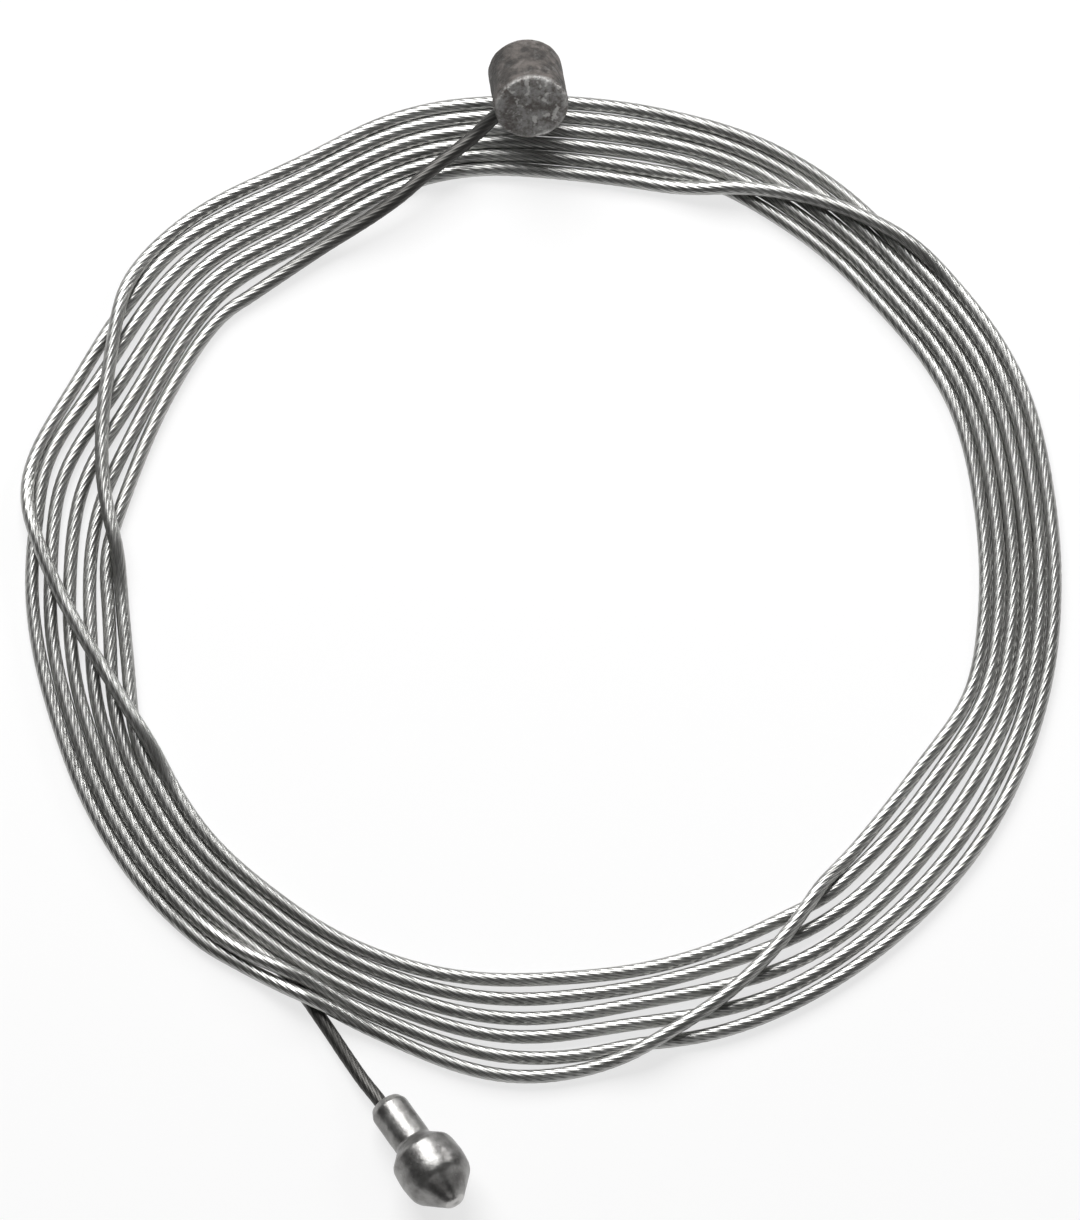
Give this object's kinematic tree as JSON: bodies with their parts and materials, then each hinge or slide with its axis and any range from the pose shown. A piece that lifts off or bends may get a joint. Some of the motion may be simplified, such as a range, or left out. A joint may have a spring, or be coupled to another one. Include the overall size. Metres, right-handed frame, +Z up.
{
  "type": "bicycle brake cable",
  "caption": "Twisted steel brake cable wound in a loose flat round coil, with a cylindrical barrel nipple on one end and a pear-shaped nipple on the other.",
  "frame": {"origin": "middle of the whole cable's footprint, on the surface that it lies on", "axes": "+Z up from that surface, +Y from the pear nipple's side of the coil towards the barrel nipple's side"},
  "size_m": [0.111, 0.129, 0.0128],
  "materials": {
    "strand_steel": "bright drawn wires twisted into a strand",
    "barrel_zinc": "rough dull die-cast zinc alloy",
    "pear_zinc": "smoother, brighter die-cast zinc alloy"
  },
  "bodies": {
    "root": {"cable_coil": "strand_steel", "barrel_lead": "strand_steel", "pear_lead": "strand_steel", "barrel_nipple": "barrel_zinc", "pear_nipple": "pear_zinc"}
  },
  "joints": []
}
